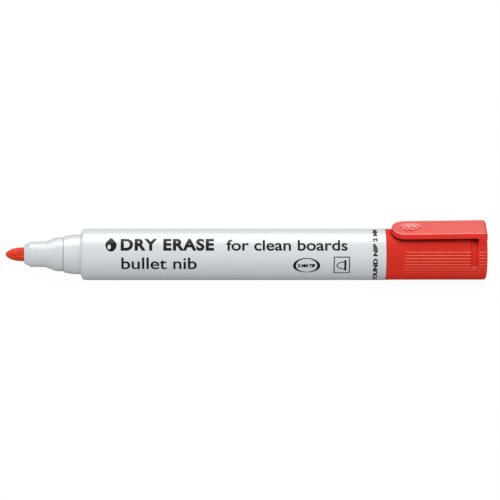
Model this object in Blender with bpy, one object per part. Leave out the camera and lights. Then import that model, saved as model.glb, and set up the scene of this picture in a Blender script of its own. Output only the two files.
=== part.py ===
"""Whiteboard marker with a bullet nib, its clip cap posted on the rear of the barrel.

The marker lies along X. The origin is the centre of the cap's flat end, the writing tip points towards
-X, and the clip points up, along +Z. Stations along the marker are distances from the writing tip.
"""

import math

import bmesh
import bpy
from mathutils import Matrix, Vector

MM = 0.001
OVERALL = 145.2 * MM
SEGMENTS = 48  # facets round every turned piece, all in phase, so that concentric gaps stay even


def station(millimetres):
    """World x of the point this far behind the writing tip."""
    return millimetres * MM - OVERALL


# Driving dimensions: outside shape.
BARREL_R = 7.75 * MM
NECK_R = 6.00 * MM
HOLDER_R = 3.84 * MM
FLANGE_R = 5.12 * MM
NIB_R = 2.10 * MM
CAP_R = 7.72 * MM
NOSE_X = station(5.70)
NECK_FRONT_X = station(17.7)
SHOULDER_X = station(22.7)
BARREL_REAR_X = station(114.7)
CAP_END_X = 0.0

# Driving dimensions: inside.
BORE_R = 6.50 * MM
NECK_BORE_R = 5.00 * MM
SNAP_X = station(20.6)  # the holder's bead sits in the neck's groove here
NIB_LENGTH = 36.0 * MM
RESERVOIR_R = 5.90 * MM
RESERVOIR_FRONT_X = station(27.2)
RESERVOIR_REAR_X = station(104.0)
FILM_THICKNESS = 0.14 * MM
STUB_R = 6.00 * MM  # the stub that the posted cap sits on, about the neck's size
STUB_LENGTH = 14.8 * MM
POCKET_R = 6.75 * MM
CAP_END_WALL = 1.40 * MM
LINER_LENGTH = 24.0 * MM

# Gaps between pieces.
PRESSED = 0.08 * MM
RUNNING = 0.10 * MM
MOUTH_GAP = 0.05 * MM

# Clip, with its origin on the line that its root bends about.
CLIP_BASE_HALF = 5.00 * MM
CLIP_TOP_HALF = 4.13 * MM
CLIP_TIP_X = station(116.25)
CLIP_ROOT_X = station(142.4)
CLIP_SLIT = 0.20 * MM
CLIP_TOP_Z = 9.22 * MM
CLIP_TOP_RISE = 0.0160
CLIP_UNDER_Z = 7.88 * MM
CLIP_UNDER_RISE = 0.0125
CLIP_EDGE = 0.16 * MM
CLIP_TIP_REACH = 4.10 * MM  # how far the tip's rounding reaches along the clip
CLIP_TIP_POWER = 2.2  # 2 is an ellipse; more makes the tip blunter
CLIP_TIP_LIFT = 0.40 * MM  # the tip curls up by this much
CLIP_LIFT_REACH = 3.6 * MM
RING_CENTRE_X = station(122.0)
RING_REACH = 3.05 * MM
RING_HALF = 2.20 * MM
RING_WIDTH = 0.50 * MM
RING_HEIGHT = 0.25 * MM

# Grip ribs on both flanks of the cap, and the channel that frees the clip's root.
RIB_COUNT = 11
RIB_PITCH = math.radians(7)
RIB_MIDDLE = math.radians(92.3)  # the middle rib, as an angle from the clip
RIB_FRONT_X = station(119.2)
RIB_SLANT = 0.20 * MM  # each rib starts this much ahead of the one nearer the clip
RIB_REAR_X = CAP_END_X - 0.75 * MM
RIB_RUN_OUT = 1.60 * MM
RIB_WIDTH = 0.60 * MM
RIB_CREST_R = CAP_R + 0.20 * MM
CHANNEL_FRONT_X = station(140.15)
CHANNEL_DEPTH = 0.45 * MM
CHANNEL_HALF_ANGLE = math.radians(93)

# Materials: name, linear colour, roughness.
WHITE_PLASTIC = ("white_plastic", (0.72, 0.75, 0.76, 1.0), 0.38)
RED_PLASTIC = ("red_plastic", (0.62, 0.030, 0.020, 1.0), 0.35)
INK_FELT = ("ink_felt", (0.62, 0.045, 0.025, 1.0), 0.90)
FIBRE = ("reservoir_fibre", (0.55, 0.06, 0.05, 1.0), 0.95)
FILM = ("wrap_film", (0.80, 0.80, 0.80, 1.0), 0.25)
LINER_PLASTIC = ("liner_plastic", (0.78, 0.78, 0.76, 1.0), 0.45)


def clear_scene():
    for obj in list(bpy.data.objects):
        bpy.data.objects.remove(obj, do_unlink=True)


def material(spec):
    """The material of this name, made on first use."""
    name, colour, roughness = spec
    found = bpy.data.materials.get(name)
    if found:
        return found
    made = bpy.data.materials.new(name)
    made.use_nodes = True
    shader = made.node_tree.nodes["Principled BSDF"]
    shader.inputs["Base Color"].default_value = colour
    shader.inputs["Roughness"].default_value = roughness
    shader.inputs["Metallic"].default_value = 0.0
    return made


def new_object(name, bm, spec, origin=(0.0, 0.0, 0.0), parent=None):
    """An object for a mesh that is given in world coordinates, with the object's own origin at origin."""
    bmesh.ops.recalc_face_normals(bm, faces=bm.faces)
    bmesh.ops.translate(bm, verts=bm.verts, vec=-Vector(origin))
    mesh = bpy.data.meshes.new(name)
    bm.to_mesh(mesh)
    bm.free()
    mesh.materials.append(material(spec))
    mesh.shade_smooth()
    mesh.set_sharp_from_angle(angle=math.radians(30))
    obj = bpy.data.objects.new(name, mesh)
    bpy.context.scene.collection.objects.link(obj)
    obj.location = origin
    if parent:
        obj.parent = parent
        obj.matrix_parent_inverse = Matrix.Translation(parent.location).inverted()
    return obj


def helper_object(name, shapes):
    """Hidden object that holds one or more closed shapes for a single Boolean."""
    whole = bmesh.new()
    for shape in shapes:
        mesh = bpy.data.meshes.new(name)
        bmesh.ops.recalc_face_normals(shape, faces=shape.faces)
        shape.to_mesh(mesh)
        shape.free()
        whole.from_mesh(mesh)
        bpy.data.meshes.remove(mesh)
    obj = new_object(name, whole, RED_PLASTIC)
    obj.hide_render = True
    obj.display_type = "WIRE"
    return obj


def boolean(obj, operation, helper):
    modifier = obj.modifiers.new(helper.name, "BOOLEAN")
    modifier.operation = operation
    modifier.solver = "EXACT"
    modifier.object = helper


def arc(centre, radius, start_deg, end_deg, steps):
    """Profile points (x, r) on an arc; 0 degrees points along +X and 90 degrees outwards."""
    points = []
    for i in range(steps + 1):
        angle = math.radians(start_deg + (end_deg - start_deg) * i / steps)
        points.append((centre[0] + radius * math.cos(angle), centre[1] + radius * math.sin(angle)))
    return points


def bead(x, half_width, r, height):
    """Profile points, front to back, of a small round-backed bead, or of a groove if height is negative."""
    return [
        (x - half_width, r),
        (x - half_width / 3, r + height),
        (x + half_width / 3, r + height),
        (x + half_width, r),
    ]


def turned_bmesh(profile):
    """Turns a profile of (x, r) points about the X axis. A solid's profile starts and ends on the axis."""
    bm = bmesh.new()
    ring = [bm.verts.new((x, 0.0, r)) for x, r in profile]
    pairs = list(zip(ring, ring[1:]))
    if profile[0][1] > 0.0:
        pairs.append((ring[-1], ring[0]))
    edges = [bm.edges.new(pair) for pair in pairs]
    bmesh.ops.spin(
        bm,
        geom=ring + edges,
        cent=(0, 0, 0),
        axis=(1, 0, 0),
        angle=math.tau,
        steps=SEGMENTS,
        use_merge=True,
    )
    bmesh.ops.remove_doubles(bm, verts=bm.verts, dist=1e-7)
    return bm


def turned(name, profile, spec, parent=None):
    return new_object(name, turned_bmesh(profile), spec, parent=parent)


def box_bmesh(low, high):
    bm = bmesh.new()
    bmesh.ops.create_cube(bm, size=1.0)
    bmesh.ops.scale(bm, vec=Vector(high) - Vector(low), verts=bm.verts)
    bmesh.ops.translate(bm, vec=(Vector(high) + Vector(low)) / 2, verts=bm.verts)
    return bm


def turn_about_x(bm, angle):
    bmesh.ops.rotate(bm, verts=bm.verts, cent=(0, 0, 0), matrix=Matrix.Rotation(angle, 3, "X"))


def make_barrel():
    """Tube with a moulded neck. Ribs in its bore hold the reservoir off the wall, so that air can pass."""
    front_corner = 0.50 * MM
    front_slope = 0.45 * MM
    rear_corner = 0.30 * MM
    rebate_r, rebate_depth = 7.00 * MM, 0.80 * MM
    bore_front_x, bore_cone_x = station(25.9), station(24.6)
    front_corner_centre = (SHOULDER_X + front_slope + front_corner, BARREL_R - front_corner)
    profile = [
        (NECK_FRONT_X, 5.42 * MM),
        (NECK_FRONT_X + 0.14 * MM, 5.55 * MM),
        (NECK_FRONT_X + 1.10 * MM, 5.76 * MM),
        (NECK_FRONT_X + 2.20 * MM, 5.93 * MM),
        (NECK_FRONT_X + 3.00 * MM, NECK_R),
        (SHOULDER_X, NECK_R),
        (SHOULDER_X + front_slope, BARREL_R - front_corner),
    ]
    profile += arc(front_corner_centre, front_corner, 150, 90, 2)
    profile += arc((BARREL_REAR_X - rear_corner, BARREL_R - rear_corner), rear_corner, 90, 0, 2)
    profile += [
        (BARREL_REAR_X, rebate_r),
        (BARREL_REAR_X - rebate_depth, rebate_r),
        (BARREL_REAR_X - rebate_depth, BORE_R),
        (bore_front_x, BORE_R),
        (bore_cone_x, NECK_BORE_R),
    ]
    profile += reversed(bead(SNAP_X, 0.55 * MM, NECK_BORE_R, 0.16 * MM))
    profile.append((NECK_FRONT_X, NECK_BORE_R))
    barrel = turned("barrel", profile, WHITE_PLASTIC)

    rib_count = 6
    rib_half_width = 0.40 * MM
    rib_inner_r = RESERVOIR_R + PRESSED + FILM_THICKNESS + PRESSED
    ribs = []
    for i in range(rib_count):
        low = (station(27.0), -rib_half_width, rib_inner_r)
        high = (station(101.0), rib_half_width, BORE_R + 0.40 * MM)
        rib = box_bmesh(low, high)
        turn_about_x(rib, i * math.tau / rib_count)
        ribs.append(rib)
    boolean(barrel, "UNION", helper_object("barrel_ribs", ribs))


def make_nib_holder():
    """Front section: a chamfered nose that grips the nib, a flare, and a skirt that snaps into the neck."""
    nose_corner = 0.12 * MM
    nose_r = 2.80 * MM
    chamfer_x = station(7.65)
    skirt_r, skirt_end_x = NECK_BORE_R - PRESSED, station(26.6)
    flange_back_x = NECK_FRONT_X - PRESSED
    grip_r, room_r, cup_r = NIB_R + PRESSED, 2.60 * MM, 4.10 * MM
    profile = [
        (NOSE_X, nose_r - nose_corner),
        (NOSE_X + nose_corner, nose_r),
        (chamfer_x, HOLDER_R),
        (station(11.65), HOLDER_R),
        (station(12.35), 3.93 * MM),
        (station(14.95), 4.96 * MM),
        (station(15.65), FLANGE_R),
        (flange_back_x, FLANGE_R),
        (flange_back_x, skirt_r),
    ]
    profile += bead(SNAP_X, 0.35 * MM, skirt_r, 0.12 * MM)
    profile += [
        (skirt_end_x - 0.40 * MM, skirt_r),
        (skirt_end_x, skirt_r - 0.30 * MM),
        (skirt_end_x, cup_r),
        (station(19.0), cup_r),
        (station(17.5), room_r),
        (station(12.6), room_r),
        (station(12.1), grip_r),
        (NOSE_X, grip_r),
    ]
    turned("nib_holder", profile, WHITE_PLASTIC)


def make_nib():
    """Fibre rod with a bullet point, and a short cone behind that digs into the reservoir."""
    point_length = 5.05 * MM
    flat_r = 0.42 * MM
    steps = 9
    tail_cone, tail_r = 1.50 * MM, 0.90 * MM
    tail_x = station(0.0) + NIB_LENGTH
    profile = [(station(0.0), 0.0), (station(0.0), flat_r)]
    for i in range(1, steps + 1):
        share = i / steps
        swell = math.sin(share * math.pi / 2)
        profile.append((station(0.0) + point_length * share * share, flat_r + (NIB_R - flat_r) * swell))
    profile += [(tail_x - tail_cone, NIB_R), (tail_x, tail_r), (tail_x, 0.0)]
    turned("nib", profile, INK_FELT)


def make_reservoir():
    """Fibre core that holds the ink, with a socket for the nib's tail, and the thin film round it."""
    socket_r = NIB_R + PRESSED
    socket_end_x = station(0.0) + NIB_LENGTH + 0.30 * MM
    core = [
        (socket_end_x, 0.0),
        (socket_end_x, socket_r),
        (RESERVOIR_FRONT_X, socket_r),
        (RESERVOIR_FRONT_X, RESERVOIR_R),
        (RESERVOIR_REAR_X, RESERVOIR_R),
        (RESERVOIR_REAR_X, 0.0),
    ]
    turned("ink_reservoir", core, FIBRE)
    film_inner_r = RESERVOIR_R + PRESSED
    film_outer_r = film_inner_r + FILM_THICKNESS
    film = [
        (RESERVOIR_FRONT_X, film_inner_r),
        (RESERVOIR_FRONT_X, film_outer_r),
        (RESERVOIR_REAR_X, film_outer_r),
        (RESERVOIR_REAR_X, film_inner_r),
    ]
    turned("reservoir_film", film, FILM)


def make_end_plug():
    """Closes the barrel's rear: a skirt with two beads, a flange in the rebate, and a hollow stub."""
    skirt_r = BORE_R - PRESSED
    skirt_front_x = RESERVOIR_REAR_X + 0.30 * MM
    lead_in, lead_depth = 0.60 * MM, 0.35 * MM
    flange_r = 6.92 * MM
    flange_front_x = BARREL_REAR_X - 0.72 * MM
    flange_back_x = BARREL_REAR_X - MOUTH_GAP
    end_x = BARREL_REAR_X + STUB_LENGTH
    end_corner = 0.80 * MM
    wall = 1.10 * MM
    inner_r, inner_corner = STUB_R - wall, 0.40 * MM
    dish_r, dish_slope, dish_depth = 3.60 * MM, 0.30 * MM, 0.30 * MM
    inner_end_x = end_x - dish_depth - wall
    profile = [
        (inner_end_x, 0.0),
        (inner_end_x, inner_r - inner_corner),
        (inner_end_x - inner_corner, inner_r),
        (skirt_front_x, inner_r),
        (skirt_front_x, skirt_r - lead_depth),
        (skirt_front_x + lead_in, skirt_r),
    ]
    for bead_x in (station(107.5), station(110.5)):
        profile += bead(bead_x, 0.30 * MM, skirt_r, 0.05 * MM)
    profile += [
        (flange_front_x, skirt_r),
        (flange_front_x, flange_r),
        (flange_back_x, flange_r),
        (flange_back_x, STUB_R),
    ]
    profile += arc((end_x - end_corner, STUB_R - end_corner), end_corner, 90, 0, 3)
    profile += [
        (end_x, dish_r + dish_slope),
        (end_x - dish_depth, dish_r),
        (end_x - dish_depth, 0.0),
    ]
    turned("end_plug", profile, RED_PLASTIC)


def make_cap_liner(carrier):
    """Inner sealing cup. Its lip grips the neck when the cap is closed, and the stub when it is posted."""
    mouth_x = BARREL_REAR_X + 0.90 * MM
    end_x = mouth_x + LINER_LENGTH
    outer_r = POCKET_R - RUNNING
    inner_r, lip_r = STUB_R + 0.16 * MM, STUB_R + PRESSED
    wall, corner, lead_in = 0.60 * MM, 0.60 * MM, 0.15 * MM
    profile = [
        (end_x - wall, 0.0),
        (end_x - wall, inner_r - corner),
        (end_x - wall - corner, inner_r),
    ]
    profile += reversed(bead(mouth_x + 1.20 * MM, 0.70 * MM, inner_r, lip_r - inner_r))
    profile += [
        (mouth_x, inner_r + lead_in),
        (mouth_x, outer_r),
        (end_x - corner, outer_r),
        (end_x, outer_r - corner),
        (end_x, 0.0),
    ]
    turned("cap_liner", profile, LINER_PLASTIC, parent=carrier)


def clip_top_z(x):
    curl = max(CLIP_TIP_X + CLIP_LIFT_REACH - x, 0.0) / CLIP_LIFT_REACH
    return CLIP_TOP_Z + CLIP_TOP_RISE * (x - CLIP_TIP_X) + CLIP_TIP_LIFT * curl**2


def clip_under_z(x):
    return CLIP_UNDER_Z + CLIP_UNDER_RISE * (x - CLIP_TIP_X)


def clip_half(x, z):
    """Half the clip's width at this height. Its sides lean in from the underside to the top."""
    share = (z - clip_under_z(x)) / (clip_top_z(x) - clip_under_z(x))
    return CLIP_BASE_HALF + (CLIP_TOP_HALF - CLIP_BASE_HALF) * share


def clip_block_bmesh():
    """Block at the cap's end that carries the clip. Its sides lean like the clip's, its rear is round."""
    corner = 1.40 * MM
    base_z = 4.50 * MM
    top_line = [(CLIP_ROOT_X, clip_top_z(CLIP_ROOT_X))]
    top_line += arc((CAP_END_X - corner, clip_top_z(CAP_END_X) - corner), corner, 90, 0, 5)
    bm = bmesh.new()
    sections = []
    for x, z in top_line:
        half = clip_half(x, z)
        shoulder_z = min(clip_under_z(x), z - 0.05 * MM)
        right = [(CLIP_BASE_HALF, base_z), (CLIP_BASE_HALF, shoulder_z), (half, z)]
        left = [(-y, level) for y, level in reversed(right)]
        sections.append([bm.verts.new((x, y, level)) for y, level in right + left])
    for this, following in zip(sections, sections[1:]):
        for k in range(len(this)):
            bm.faces.new((this[k], this[k - 1], following[k - 1], following[k]))
    bm.faces.new(sections[0])
    bm.faces.new(sections[-1])
    return bm


def rib_bmesh(angle, front_x):
    """One straight grip rib, rooted in the cap's wall, its front end sloping down to nothing."""
    root_r = CAP_R - 0.31 * MM
    crest_share = 0.45
    rib = box_bmesh((front_x, -RIB_WIDTH / 2, root_r), (RIB_REAR_X, RIB_WIDTH / 2, RIB_CREST_R))
    for vert in rib.verts:
        if vert.co.z > CAP_R:
            vert.co.y *= crest_share
            vert.co.x = max(vert.co.x, front_x + RIB_RUN_OUT)
    turn_about_x(rib, angle)
    return rib


def channel_bmesh():
    """Part-ring that cuts the channel over the cap's top, from flank to flank, with rounded ends."""
    floor_r, outer_r = CAP_R - CHANNEL_DEPTH, CAP_R + 1.0 * MM
    steps = 26
    end_inset = 0.28 * (CLIP_ROOT_X - CHANNEL_FRONT_X)
    bm = bmesh.new()
    sections = []
    for i in range(steps + 1):
        angle = CHANNEL_HALF_ANGLE * (2 * i / steps - 1)
        inset = end_inset if i in (0, steps) else 0.0
        front_x, back_x = CHANNEL_FRONT_X + inset, CLIP_ROOT_X - inset
        section = [(front_x, floor_r), (back_x, floor_r), (back_x, outer_r), (front_x, outer_r)]
        sections.append([bm.verts.new((x, r * math.sin(angle), r * math.cos(angle))) for x, r in section])
    for this, following in zip(sections, sections[1:]):
        for k in range(4):
            bm.faces.new((this[k], this[k - 1], following[k - 1], following[k]))
    bm.faces.new(sections[0])
    bm.faces.new(sections[-1])
    return bm


def make_cap_shell(carrier):
    """Outer cup, with the block for the clip, grip ribs on both flanks and the channel."""
    mouth_x = BARREL_REAR_X + MOUTH_GAP
    mouth_chamfer = 0.22 * MM
    band_end_x = mouth_x + 1.50 * MM
    band_rise, band_slope, taper = 0.02 * MM, 0.30 * MM, 0.06 * MM
    end_corner = 0.70 * MM
    outline = [
        (mouth_x, 0.0),
        (mouth_x, CAP_R - mouth_chamfer),
        (mouth_x + mouth_chamfer, CAP_R + band_rise),
        (band_end_x, CAP_R + band_rise),
        (band_end_x + band_slope, CAP_R - band_rise),
    ]
    outline += arc((CAP_END_X - end_corner, CAP_R - taper - end_corner), end_corner, 90, 0, 4)
    outline.append((CAP_END_X, 0.0))
    shell = turned("cap_shell", outline, RED_PLASTIC, parent=carrier)
    boolean(shell, "UNION", helper_object("clip_block", [clip_block_bmesh()]))

    ribs = []
    for flank in (-1, 1):
        for i in range(RIB_COUNT):
            step = i - (RIB_COUNT - 1) / 2
            angle = flank * (RIB_MIDDLE + step * RIB_PITCH)
            ribs.append(rib_bmesh(angle, RIB_FRONT_X - step * RIB_SLANT))
    boolean(shell, "UNION", helper_object("grip_ribs", ribs))

    pocket_end_x = CAP_END_X - CAP_END_WALL
    pocket_corner, overrun = 0.30 * MM, 0.60 * MM
    pocket = [
        (mouth_x - overrun, 0.0),
        (mouth_x - overrun, POCKET_R + overrun),
        (mouth_x + pocket_corner / 2, POCKET_R),
        (pocket_end_x - pocket_corner, POCKET_R),
        (pocket_end_x, POCKET_R - pocket_corner),
        (pocket_end_x, 0.0),
    ]
    boolean(shell, "DIFFERENCE", helper_object("cap_pocket", [turned_bmesh(pocket)]))
    boolean(shell, "DIFFERENCE", helper_object("clip_channel", [channel_bmesh()]))


def tongue_outline(half, front_x, reach):
    """The tongue's plan at one height: square across the root, with a blunt round at its free end."""
    root_x = CLIP_ROOT_X - CLIP_SLIT
    steps = 20
    outline = [(root_x, half)]
    for i in range(steps + 1):
        angle = math.pi / 2 + math.pi * i / steps
        along, across = math.cos(angle), math.sin(angle)
        blunt = (abs(along) ** CLIP_TIP_POWER + abs(across) ** CLIP_TIP_POWER) ** (-1 / CLIP_TIP_POWER)
        outline.append((front_x + reach + reach * along * blunt, half * across * blunt))
    outline.append((root_x, -half))
    return outline


def ring_bmesh():
    """Plain raised oval ring on the clip's top, following the top's slope."""
    steps = 24
    root_depth = 0.30 * MM
    corners = [
        (0.0, -root_depth),
        (0.0, RING_HEIGHT),
        (RING_WIDTH, RING_HEIGHT),
        (RING_WIDTH, -root_depth),
    ]
    bm = bmesh.new()
    loops = []
    for inset, rise in corners:
        loop = []
        for i in range(steps):
            angle = math.tau * i / steps
            x = RING_CENTRE_X + (RING_REACH - inset) * math.cos(angle)
            y = (RING_HALF - inset) * math.sin(angle)
            loop.append(bm.verts.new((x, y, clip_top_z(x) + rise)))
        loops.append(loop)
    for this, following in zip(loops, loops[1:] + loops[:1]):
        for i in range(steps):
            bm.faces.new((this[i], this[i - 1], following[i - 1], following[i]))
    return bm


def make_clip(carrier):
    """Spring tongue of the cap. Its sides lean in towards the top."""
    tip_lean = 0.25 * MM
    base_plan = tongue_outline(CLIP_BASE_HALF, CLIP_TIP_X, CLIP_TIP_REACH)
    top_plan = tongue_outline(CLIP_TOP_HALF, CLIP_TIP_X + tip_lean, CLIP_TIP_REACH)
    bm = bmesh.new()
    base = [bm.verts.new((x, y, clip_under_z(x))) for x, y in base_plan]
    top = [bm.verts.new((x, y, clip_top_z(x))) for x, y in top_plan]
    for k in range(len(base)):
        bm.faces.new((base[k - 1], base[k], top[k], top[k - 1]))
    bm.faces.new(base)
    last = len(top) - 1
    for k in range(last // 2):
        strip = [top[k], top[k + 1], top[last - k - 1], top[last - k]]
        bm.faces.new(dict.fromkeys(strip))
    rim = [bm.edges.get((this, following)) for this, following in zip(top, top[1:])]
    bmesh.ops.bevel(bm, geom=rim, offset=CLIP_EDGE, segments=2, profile=0.5, affect="EDGES")
    pivot_z = (clip_top_z(CLIP_ROOT_X) + clip_under_z(CLIP_ROOT_X)) / 2
    clip = new_object("pocket_clip", bm, RED_PLASTIC, origin=(CLIP_ROOT_X, 0.0, pivot_z), parent=carrier)
    boolean(clip, "UNION", helper_object("clip_ring", [ring_bmesh()]))


def build():
    clear_scene()
    bpy.context.scene.unit_settings.scale_length = 1.0
    make_barrel()
    make_nib_holder()
    make_nib()
    make_reservoir()
    make_end_plug()
    carrier = bpy.data.objects.new("cap_axis", None)
    carrier.location = (BARREL_REAR_X, 0.0, 0.0)
    bpy.context.scene.collection.objects.link(carrier)
    make_cap_liner(carrier)
    make_cap_shell(carrier)
    make_clip(carrier)


build()
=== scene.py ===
"""Looks of the whiteboard marker.

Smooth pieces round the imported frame, print, materials, floor, light and camera. Lengths are in metres,
written as millimetres times MM. The axis of the marker is X.
"""

import math

import bmesh
import bpy
import numpy as np
from mathutils import Matrix, Vector, noise


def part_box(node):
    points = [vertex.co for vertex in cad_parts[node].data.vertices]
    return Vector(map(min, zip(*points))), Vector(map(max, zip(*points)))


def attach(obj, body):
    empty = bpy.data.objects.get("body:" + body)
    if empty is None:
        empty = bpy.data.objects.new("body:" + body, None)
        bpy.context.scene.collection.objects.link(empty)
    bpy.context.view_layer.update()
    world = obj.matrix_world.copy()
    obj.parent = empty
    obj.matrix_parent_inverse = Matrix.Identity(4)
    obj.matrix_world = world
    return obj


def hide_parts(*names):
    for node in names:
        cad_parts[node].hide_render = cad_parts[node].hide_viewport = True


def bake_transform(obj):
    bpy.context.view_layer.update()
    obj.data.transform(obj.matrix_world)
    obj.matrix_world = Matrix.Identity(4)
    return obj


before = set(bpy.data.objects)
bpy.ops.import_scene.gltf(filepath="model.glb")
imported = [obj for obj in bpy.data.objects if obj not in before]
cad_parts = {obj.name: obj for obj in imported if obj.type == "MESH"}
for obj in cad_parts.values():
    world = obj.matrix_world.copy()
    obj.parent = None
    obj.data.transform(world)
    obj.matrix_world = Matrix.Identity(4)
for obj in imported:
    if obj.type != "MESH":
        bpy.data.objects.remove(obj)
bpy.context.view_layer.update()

MM = 0.001
ROUND = 192  # steps round a turned piece
HIDDEN_ROUND = 96  # steps round the reservoir and its film, which are never seen

# Sizes read from the frame.
TIP_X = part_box("nib")[0].x
NIB_END_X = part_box("nib")[1].x
NIB_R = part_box("nib")[1].y
HOLDER_FRONT_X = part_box("nib_holder")[0].x
HOLDER_END_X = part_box("nib_holder")[1].x
FLANGE_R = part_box("nib_holder")[1].y
NECK_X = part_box("barrel")[0].x
BARREL_END_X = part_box("barrel")[1].x
BARREL_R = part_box("barrel")[1].y
CORE_X = [corner.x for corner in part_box("ink_reservoir")]
CORE_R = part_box("ink_reservoir")[1].y
FILM_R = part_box("reservoir_film")[1].y
PLUG_X = [corner.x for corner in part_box("end_plug")]
PLUG_FLANGE_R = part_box("end_plug")[1].y
LINER_X = [corner.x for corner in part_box("cap_liner")]
LINER_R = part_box("cap_liner")[1].y
MOUTH_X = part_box("cap_shell")[0].x
CAP_END_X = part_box("cap_shell")[1].x
CLIP_TIP_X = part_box("pocket_clip")[0].x
CLIP_BASE_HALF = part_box("pocket_clip")[1].y

# Sizes that the frame's boxes don't show.
PRESS_GAP = 0.08 * MM  # left between pieces that are pressed together
NECK_R = 6.00 * MM
NECK_BORE_R = 5.00 * MM
BORE_R = 6.50 * MM
HOLDER_R = 3.84 * MM
STUB_R = 6.00 * MM
CAP_R = 7.72 * MM
CAP_BAND_RISE = 0.02 * MM
CAP_WALL_DROP = 0.03 * MM
CAP_WALL_X = MOUTH_X + 1.05 * MM
CAP_TAPER = 0.06 * MM
CAP_CORNER = 0.70 * MM
CAP_CORNER_X = CAP_END_X - CAP_CORNER
POCKET_R = 6.75 * MM
CLIP_ROOT_X = CAP_END_X - 2.80 * MM
CLIP_TOP_HALF = 4.13 * MM
CLIP_TOP_Z = 9.22 * MM
CLIP_TOP_RISE = 0.0160
CLIP_UNDER_Z = 7.88 * MM
CLIP_UNDER_RISE = 0.0125
CLIP_TIP_REACH = 4.10 * MM
CLIP_TIP_POWER = 2.0
CLIP_TIP_LEAN = 0.25 * MM
CLIP_TIP_LIFT = 0.40 * MM
CLIP_LIFT_REACH = 3.6 * MM
BUTTON_X = CLIP_TIP_X + 5.85 * MM
BUTTON_REACH = 3.00 * MM
BUTTON_HALF = 2.10 * MM
RIB_COUNT = 11
RIB_PITCH = math.radians(7)
RIB_MIDDLE = math.radians(92.3)
RIB_FRONT_X = TIP_X + 118.95 * MM
RIB_SLANT = 0.14 * MM
RIB_RUN_OUT = 1.6 * MM
RIB_HALF_WIDTH = 0.34 * MM
RIB_HEIGHT = 0.21 * MM
CHANNEL_FRONT_X = CLIP_ROOT_X - 2.25 * MM
CHANNEL_DEPTH = 0.45 * MM
CHANNEL_END = math.radians(93)
CHANNEL_CORNER = 0.9 * MM
CHANNEL_WALL = 0.10 * MM
INK_RISE = 0.02 * MM
INK_ROOT = 0.03 * MM
FACING = math.radians(60)  # angle from the clip of the line along the barrel that the print is laid out from

# Light and camera.
STRIP_POWER = 22.8
STRIP_COLOUR = (1.0, 0.975, 0.925)
STRIP_SIZE = (1.6, 0.80)
STRIP_DISTANCE = 0.9
STRIP_LEAN = math.radians(20)  # how far behind the zenith the strip stands
WORLD_STRENGTH = 0.78
WORLD_SLOPE = (0.0, -0.20, 0.25)  # what the world's strength gains along each axis
PAPER_GLOW = 1.02
PAPER_GLOW_SHARE = 0.94
CAMERA_ELEVATION = math.radians(30)
CAMERA_DISTANCE = 0.985
CAMERA_LENS = 234.55
CAMERA_SENSOR = 36.0


def behind_tip(distance):
    """World x of the point this many millimetres behind the writing tip."""
    return TIP_X + distance * MM


# ---------------------------------------------------------------- materials


def node_material(name):
    """A new material with its node tree, its Principled BSDF, and a function that adds a node to it."""
    made = bpy.data.materials.new(name)
    made.use_nodes = True
    tree = made.node_tree
    shader = tree.nodes["Principled BSDF"]

    def add(kind, **settings):
        node = tree.nodes.new(kind)
        for key, value in settings.items():
            if key in node.inputs:
                node.inputs[key].default_value = value
            else:
                setattr(node, key, value)
        return node

    return made, tree, shader, add


def object_coordinates(tree, add, scale=(1.0, 1.0, 1.0)):
    """The piece's own coordinates, stretched by scale, for patterns that don't depend on UVs."""
    texture = add("ShaderNodeTexCoord")
    mapping = add("ShaderNodeMapping", Scale=scale)
    tree.links.new(texture.outputs["Object"], mapping.inputs["Vector"])
    return mapping.outputs["Vector"]


def pattern(tree, add, coordinates, scale, detail=3.0, roughness=0.55):
    """Noise from 0 to 1 at this scale, in cycles per metre."""
    node = add("ShaderNodeTexNoise", Scale=scale, Detail=detail, Roughness=roughness)
    tree.links.new(coordinates, node.inputs["Vector"])
    return node.outputs["Fac"]


def remap(tree, add, value, low, high, start=0.3, end=0.7):
    """The value's range from start to end stretched to low and high."""
    node = add("ShaderNodeMapRange")
    node.inputs["From Min"].default_value = start
    node.inputs["From Max"].default_value = end
    node.inputs["To Min"].default_value = low
    node.inputs["To Max"].default_value = high
    tree.links.new(value, node.inputs["Value"])
    return node.outputs["Result"]


def two_colours(tree, add, value, dark, light):
    """A colour between dark and light, chosen by value."""
    node = add("ShaderNodeMix", data_type="RGBA")
    node.inputs["A"].default_value = (*dark, 1.0)
    node.inputs["B"].default_value = (*light, 1.0)
    tree.links.new(value, node.inputs["Factor"])
    return node.outputs["Result"]


def tint(tree, add, share, colour, towards):
    """The colour, drawn towards another one by share."""
    node = add("ShaderNodeMix", data_type="RGBA")
    node.inputs["B"].default_value = (*towards, 1.0)
    tree.links.new(colour, node.inputs["A"])
    tree.links.new(share, node.inputs["Factor"])
    return node.outputs["Result"]


def multiplied(tree, add, colour, share):
    """The colour times share, which may be more than 1."""
    node = add("ShaderNodeMix", data_type="RGBA", blend_type="MULTIPLY")
    node.inputs["Factor"].default_value = 1.0
    tree.links.new(colour, node.inputs["A"])
    tree.links.new(share, node.inputs["B"])
    return node.outputs["Result"]


def arithmetic(tree, add, operation, first, second):
    """The result of a maths node for two values."""
    node = add("ShaderNodeMath", operation=operation)
    tree.links.new(first, node.inputs[0])
    tree.links.new(second, node.inputs[1])
    return node.outputs["Value"]


def component(tree, add, vector, axis):
    """The vector's X, Y or Z."""
    node = add("ShaderNodeSeparateXYZ")
    tree.links.new(vector, node.inputs["Vector"])
    return node.outputs[axis]


def bump(tree, add, shader, value, distance):
    """Bends the shader's normal as if value stood up by distance."""
    node = add("ShaderNodeBump", Strength=1.0, Distance=distance)
    tree.links.new(value, node.inputs["Height"])
    tree.links.new(node.outputs["Normal"], shader.inputs["Normal"])


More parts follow.
